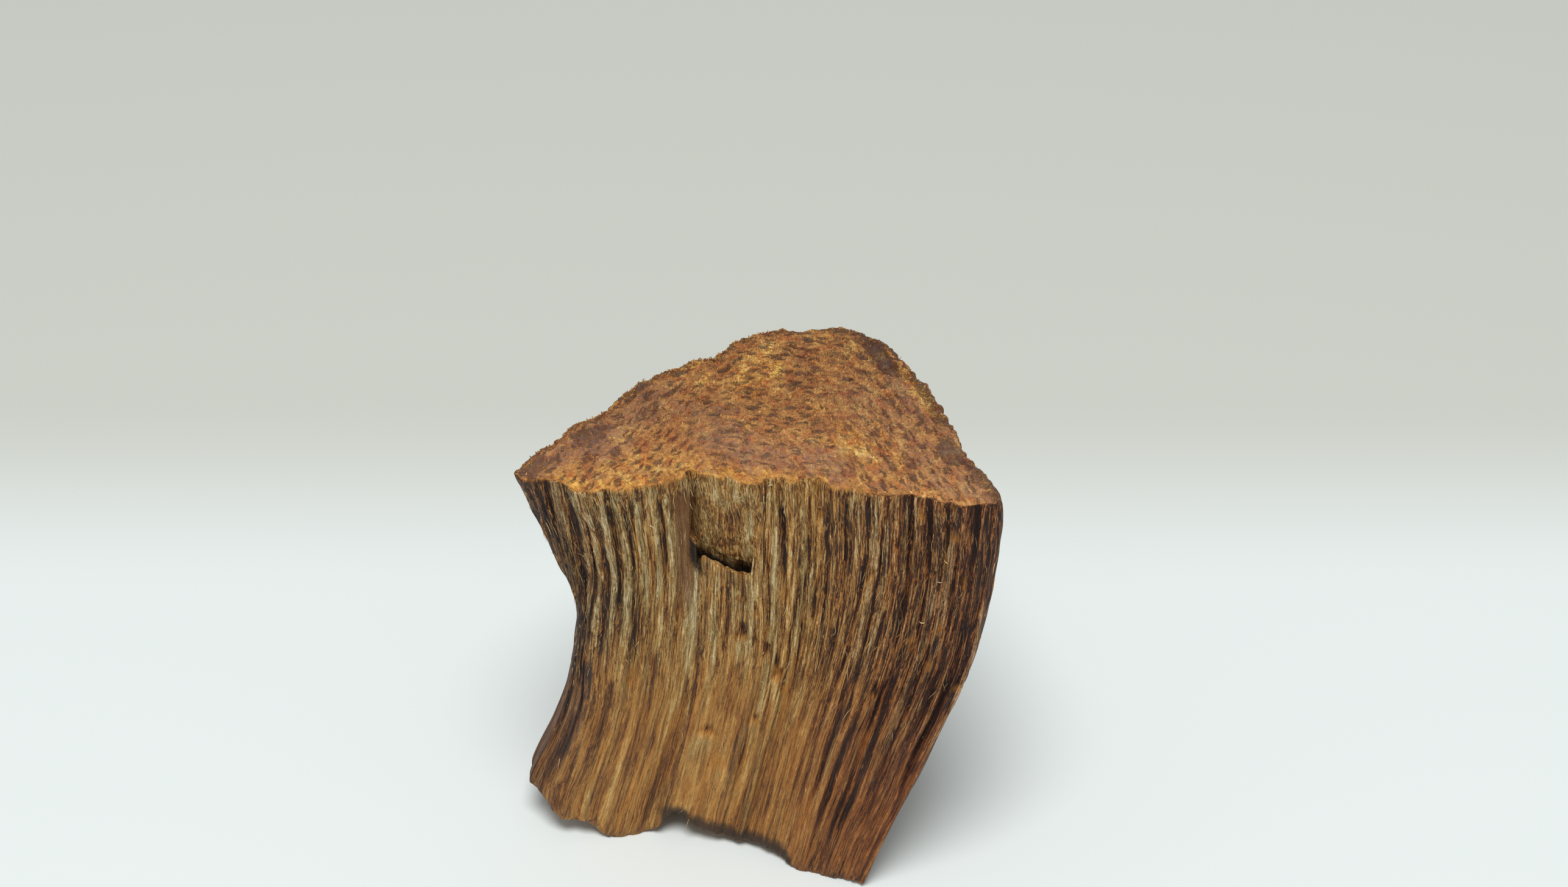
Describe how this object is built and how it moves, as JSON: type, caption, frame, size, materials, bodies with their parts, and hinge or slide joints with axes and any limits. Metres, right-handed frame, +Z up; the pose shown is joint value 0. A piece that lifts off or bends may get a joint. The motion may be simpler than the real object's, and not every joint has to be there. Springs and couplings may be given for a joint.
{
  "type": "agarwood chip",
  "caption": "Short standing chip of agarwood with a cut end-grain top, a split fluted front, a torn flake below the rim and a broken lower end.",
  "frame": {"origin": "middle of the chip's box, at the level of the three flat feet it stands on", "axes": "+Z up along the grain, +Y away from the split front, +X to the right as seen from the front"},
  "size_m": [0.0258, 0.0162, 0.027],
  "materials": {
    "wood": "raw split grain, warm brown with pale and near-black resin streaks; orange-brown end grain on top"
  },
  "bodies": {
    "root": {"agarwood": "wood"}
  },
  "joints": []
}
